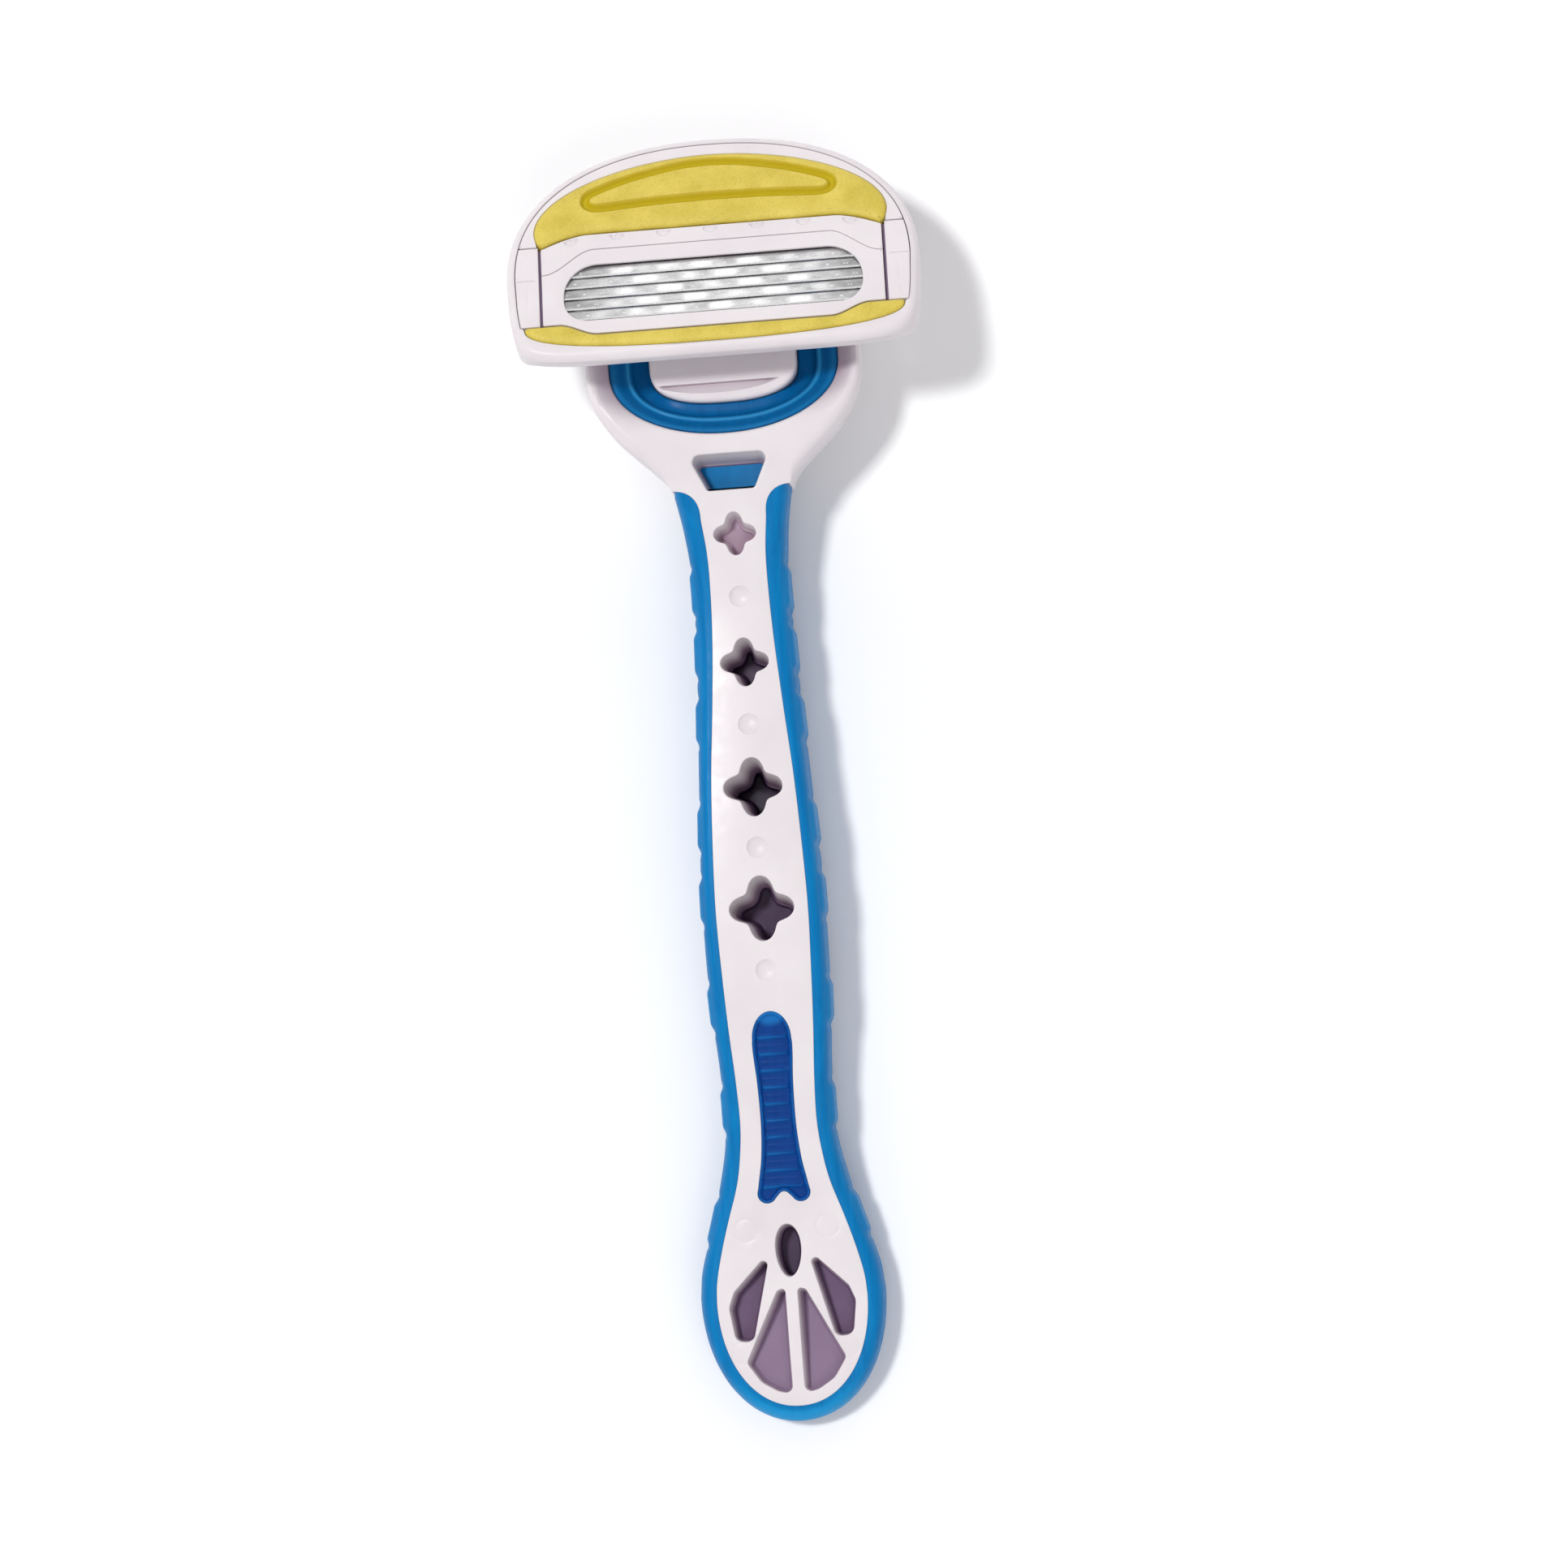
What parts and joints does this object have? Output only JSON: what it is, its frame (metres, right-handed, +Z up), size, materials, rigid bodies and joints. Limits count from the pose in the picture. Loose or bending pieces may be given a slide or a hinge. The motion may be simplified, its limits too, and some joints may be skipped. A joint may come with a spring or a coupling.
{
  "type": "cartridge razor",
  "caption": "Cartridge razor with a pivoting soap-bar head, a floating blade unit, a release button and a soft-skinned paddle handle.",
  "frame": {"origin": "on the surface the razor lies on, under the middle of the razor's box", "axes": "+Y along the handle towards the head, +Z up out of the blades, +X across"},
  "size_m": [0.0482, 0.1502, 0.0239],
  "materials": {
    "white_plastic": "satin moulded plastic",
    "soft_grip": "soft satin",
    "deep_blue_pad": "soft satin",
    "blue_plastic": "satin",
    "soap": "waxy, finely speckled",
    "blade_steel": "polished",
    "spring_steel": "drawn wire"
  },
  "bodies": {
    "handle": {"handle_core": "white_plastic", "grip_overmold": "soft_grip", "thumb_pad": "deep_blue_pad", "neck_insert": "soft_grip", "yoke_liner": "soft_grip", "button_springs": "spring_steel"},
    "button": {"release_button": "blue_plastic"},
    "cartridge_mount": {"dock_block": "white_plastic", "pivot_pin": "spring_steel", "plunger_spring": "spring_steel"},
    "plunger": {"return_plunger": "white_plastic"},
    "head": {"head_shell": "white_plastic", "soap_tray": "white_plastic", "upper_soap_bar": "soap", "lower_soap_bar": "soap", "side_block_left": "white_plastic", "side_block_right": "white_plastic", "rock_spring_left": "spring_steel", "rock_spring_right": "spring_steel"},
    "blade_unit": {"blade_housing": "white_plastic", "blade_cap": "white_plastic", "blade_1": "blade_steel", "blade_2": "blade_steel", "blade_3": "blade_steel", "blade_4": "blade_steel", "blade_5": "blade_steel", "blade_support_1": "blade_steel", "blade_support_2": "blade_steel", "blade_support_3": "blade_steel", "blade_support_4": "blade_steel", "blade_support_5": "blade_steel"}
  },
  "joints": [
    {"name": "release_button_slide", "type": "slide", "parent": "handle", "child": "button", "axis": [0, 1, 0], "range_m": [0, 0.0025], "stiffness_N_per_m": 400, "springref_m": -0.001, "deforming": ["button_springs"]},
    {"name": "cartridge_off", "type": "slide", "parent": "handle", "child": "cartridge_mount", "axis": [0, 1, 0], "range_m": [0, 0.014]},
    {"name": "head_pivot", "type": "hinge", "parent": "cartridge_mount", "child": "head", "pos_m": [0, 0.0585, 0.0129], "axis": [-1, 0, 0], "range_deg": [0, 40], "stiffness_Nm_per_rad": 0.01, "springref_deg": -20.05},
    {"name": "plunger_slide", "type": "slide", "parent": "cartridge_mount", "child": "plunger", "axis": [0, -1, 0], "range_m": [0, 0.0016], "deforming": ["plunger_spring"]},
    {"name": "blade_unit_rock", "type": "hinge", "parent": "head", "child": "blade_unit", "pos_m": [0, 0.05879, 0.01854], "axis": [1, 0, 0], "range_deg": [-4, 4], "stiffness_Nm_per_rad": 0.02, "deforming": ["rock_spring_left", "rock_spring_right"]}
  ],
  "couplings": [
    {"joint": "plunger_slide", "follows": "head_pivot", "m_per_rad": 0.002026}
  ]
}
